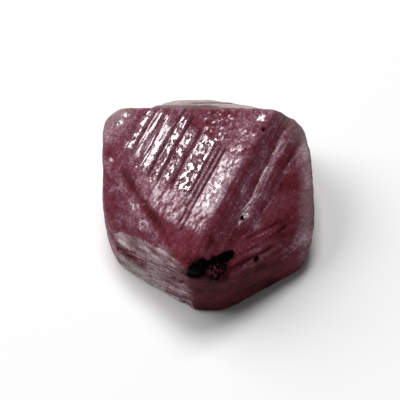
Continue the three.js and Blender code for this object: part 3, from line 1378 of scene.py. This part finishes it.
        rough = add_node(tree, "ShaderNodeMapRange", {}, {
            "Value": frosting, "From Min": 0.0, "From Max": 1.0,
            "To Min": self.glossy, "To Max": self.matt})["Result"]
        dull = add_node(tree, "ShaderNodeMix", {"data_type": "FLOAT"}, {
            0: black, 2: rough, 3: self.dull})[0]
        tree.links.new(dull, shader.inputs["Roughness"])
        # the black mineral is taken to have a dull metallic lustre
        tree.links.new(black, shader.inputs["Metallic"])
        tree.links.new(gleam, shader.inputs["Coat Weight"])

        bumps = add_node(tree, "ShaderNodeBump", {}, {
            "Height": grain["Fac"], "Distance": self.bump_mm * MM,
            "Strength": self.bump_strength})["Normal"]
        tree.links.new(bumps, shader.inputs["Normal"])
        return material

    @staticmethod
    def _streaks(tree: bpy.types.NodeTree, along: bpy.types.NodeSocket, width_mm: float, stretch: float,
                 low: float, high: float) -> bpy.types.NodeSocket:
        """Adds irregular streaks that run along the growth grooves.

        Args:
            tree: the material's tree.
            along: positions turned so that x runs along the grooves.
            width_mm: mean width of a streak.
            stretch: how many times longer than wide it is.
            low: noise value below which the streak is off.
            high: noise value above which it is fully on.

        Returns:
            The output that carries the streaks, 0 to 1.
        """
        scale = 1.0 / (width_mm * MM)
        size = (scale / stretch, scale, scale)
        stretched = add_node(tree, "ShaderNodeVectorMath", {"operation": "MULTIPLY"}, {
            0: along, 1: size})["Vector"]
        noise = add_node(tree, "ShaderNodeTexNoise", {}, {
            "Vector": stretched, "Scale": 0.5, "Detail": 2.0})["Fac"]
        return add_node(tree, "ShaderNodeMapRange", {"interpolation_type": "SMOOTHSTEP"}, {
            "Value": noise, "From Min": low, "From Max": high, "To Min": 0.0, "To Max": 1.0})["Result"]


def add_node(tree: bpy.types.NodeTree, kind: str, settings: dict | None = None,
             inputs: dict | None = None) -> bpy.types.NodeOutputs:
    """Adds a node.

    Args:
        tree: the tree that gets it.
        kind: the node's type name.
        settings: properties of the node.
        inputs: input name or index to a value or to the output that feeds it.

    Returns:
        The node's outputs.
    """
    node = tree.nodes.new(kind)
    for name, value in (settings or {}).items():
        setattr(node, name, value)
    for name, value in (inputs or {}).items():
        if isinstance(value, bpy.types.NodeSocket):
            tree.links.new(value, node.inputs[name])
        else:
            node.inputs[name].default_value = value
    return node.outputs


# ------------------------------------------------------------------------------ the piece
@dataclass
class RubyCrystal:
    """The crystal as one mesh.

    Attributes:
        form: its shape.
        finish: its material.
        axis: where the growth axis stands in the frame, in millimetres.
        half_across: half the blank's size across the grooves.
        half_along: half the blank's size along them.
        cuts: how finely the blank is divided across, along and up.
    """

    form: CrystalForm = field(default_factory=CrystalForm)
    finish: RubyFinish = field(default_factory=RubyFinish)
    axis: tuple[float, float] = (-0.163, 3.236)
    half_across: float = 11.3
    half_along: float = 11.0
    cuts: tuple[int, int, int] = (272, 148, 40)

    def blank(self) -> bmesh.types.BMesh:
        """Makes the finely divided block that the crystal is carved from, around the axis.

        Returns:
            The block, still open to edits.
        """
        block = bmesh.new()
        bmesh.ops.create_cube(block, size=2.0)
        for side, count in enumerate(self.cuts):
            edges = [e for e in block.edges if abs((e.verts[0].co - e.verts[1].co)[side]) > 1.9]
            bmesh.ops.subdivide_edges(block, edges=edges, cuts=count, use_grid_fill=True)
        middle_z = self.form.height / 2
        size = Matrix.Diagonal((self.half_across, self.half_along, middle_z, 1.0))
        turn = Matrix.Rotation(math.radians(self.form.groove_azimuth - 90.0), 4, "Z")
        place = Matrix.Translation((-self.axis[0], -self.axis[1], middle_z))
        bmesh.ops.transform(block, matrix=place @ turn @ size, verts=block.verts)
        return block

    def build(self) -> bpy.types.Object:
        """Carves the blank, closes its flat base and makes the object.

        Returns:
            The crystal's object, dressed and attached to the root body, with the CAD part hidden.
        """
        block = self.blank()
        block.verts.ensure_lookup_table()
        rays = np.array([v.co for v in block.verts]) - np.array(self.form.middle)
        rays /= np.linalg.norm(rays, axis=1)[:, None]
        surface = self.form.surface(rays)
        for name, values in CrystalTones(self.form).at(surface).items():
            layer = block.verts.layers.float.new(name)
            for vert, value in zip(block.verts, values):
                vert[layer] = float(value)
        foot = np.array([self.axis[0], self.axis[1], 0.0])
        for vert, point in zip(block.verts, (surface.points + foot) * MM):
            vert.co = point
        self._close_base(block)
        bmesh.ops.recalc_face_normals(block, faces=block.faces)
        mesh = bpy.data.meshes.new("ruby crystal")
        block.to_mesh(mesh)
        block.free()
        mesh.polygons.foreach_set("use_smooth", [True] * len(mesh.polygons))
        piece = bpy.data.objects.new("ruby_crystal_skin", mesh)
        bpy.context.collection.objects.link(piece)
        piece.data.materials.append(self.finish.material())
        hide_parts(NODE)
        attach(piece, "root")
        LOG.info("%s: %d vertices, %d faces", piece.name, len(mesh.vertices), len(mesh.polygons))
        return piece

    def _close_base(self, block: bmesh.types.BMesh) -> None:
        """Replaces the finely divided flat underside by one flat face.

        Args:
            block: the carved block.
        """
        flat = [f for f in block.faces if all(v.co.z < 1e-7 for v in f.verts)]
        bmesh.ops.delete(block, geom=flat, context="FACES")
        rim = [e for e in block.edges if e.is_boundary]
        bmesh.ops.holes_fill(block, edges=rim, sides=0)


# ------------------------------------------------------------------------------ studio
@dataclass
class Studio:
    """Pale floor, soft light and the camera.

    Attributes:
        centre: middle of the crystal's upper face, at the growth axis, in millimetres.
        floor_size: side of the floor, in metres.
        stand: where the camera stands, from the centre.
        aim: what it looks at, from the centre.
        lens: focal length in millimetres.
        sensor: width of the camera's sensor in millimetres.
        paper, paper_roughness: colour and roughness of the floor.
        air, air_strength: colour and brightness of the surroundings.
    """

    centre: tuple[float, float, float]
    floor_size: float = 3.0
    stand: tuple[float, float, float] = (0.0, -59.8, 128.2)
    aim: tuple[float, float, float] = (-0.755, -4.53, -2.11)
    lens: float = 135.0
    sensor: float = 36.0
    paper: str = "#f7f7f7"
    paper_roughness: float = 0.9
    air: str = "#f4f5f7"
    air_strength: float = 0.10

    def build(self) -> None:
        """Makes the floor, the lights and the camera."""
        self._floor()
        self._world()
        self._light("key softbox", azimuth=98.0, elevation=66.0, spread=9.0, radiance=19.0)
        self._light("broad softbox", azimuth=154.0, elevation=40.0, spread=20.0, radiance=4.7)
        self._camera()

    def _floor(self) -> None:
        """A plain white sheet."""
        sheet = bmesh.new()
        bmesh.ops.create_grid(sheet, x_segments=1, y_segments=1, size=self.floor_size / 2)
        mesh = bpy.data.meshes.new("floor")
        sheet.to_mesh(mesh)
        sheet.free()
        floor = bpy.data.objects.new("floor", mesh)
        bpy.context.collection.objects.link(floor)
        material = bpy.data.materials.new("white paper")
        material.use_nodes = True
        shader = material.node_tree.nodes["Principled BSDF"]
        shader.inputs["Base Color"].default_value = linear(self.paper)
        shader.inputs["Roughness"].default_value = self.paper_roughness
        floor.data.materials.append(material)

    def _world(self) -> None:
        """Even, pale surroundings."""
        world = bpy.data.worlds.new("studio")
        world.use_nodes = True
        background = world.node_tree.nodes["Background"]
        background.inputs["Color"].default_value = linear(self.air)
        background.inputs["Strength"].default_value = self.air_strength
        bpy.context.scene.world = world

    def _light(self, name: str, azimuth: float, elevation: float, spread: float, radiance: float) -> None:
        """Adds a square soft light that faces the crystal from a metre away.

        Args:
            name: what it is called.
            azimuth: direction that it stands in, in degrees.
            elevation: how high it stands, in degrees.
            spread: half its width as seen from the crystal, in degrees.
            radiance: brightness of its surface.
        """
        lamp = bpy.data.lights.new(name, "AREA")
        lamp.shape = "SQUARE"
        lamp.size = 2.0 * math.tan(math.radians(spread))
        lamp.energy = radiance * math.pi * lamp.size ** 2
        lift = math.radians(elevation)
        way = Vector(heading(azimuth) * math.cos(lift)) + Vector((0.0, 0.0, math.sin(lift)))
        holder = bpy.data.objects.new(name, lamp)
        holder.location = way
        holder.rotation_euler = way.to_track_quat("Z", "Y").to_euler()
        bpy.context.collection.objects.link(holder)

    def _camera(self) -> None:
        """Adds the camera."""
        lens = bpy.data.cameras.new("camera")
        lens.lens = self.lens
        lens.sensor_width = self.sensor
        lens.clip_start = 0.005
        camera = bpy.data.objects.new("camera", lens)
        centre = Vector(self.centre)
        stand = (centre + Vector(self.stand)) * MM
        aim = (centre + Vector(self.aim)) * MM
        camera.location = stand
        camera.rotation_euler = (stand - aim).to_track_quat("Z", "Y").to_euler()
        bpy.context.collection.objects.link(camera)
        bpy.context.scene.camera = camera


def main() -> None:
    """Builds the crystal and the studio in order."""
    logging.basicConfig(level=logging.INFO, format="%(message)s")
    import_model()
    crystal = RubyCrystal()
    Studio((*crystal.axis, crystal.form.height)).build()
    crystal.build()
    bpy.context.scene.view_settings.view_transform = "Standard"


if __name__ == "__main__":
    main()
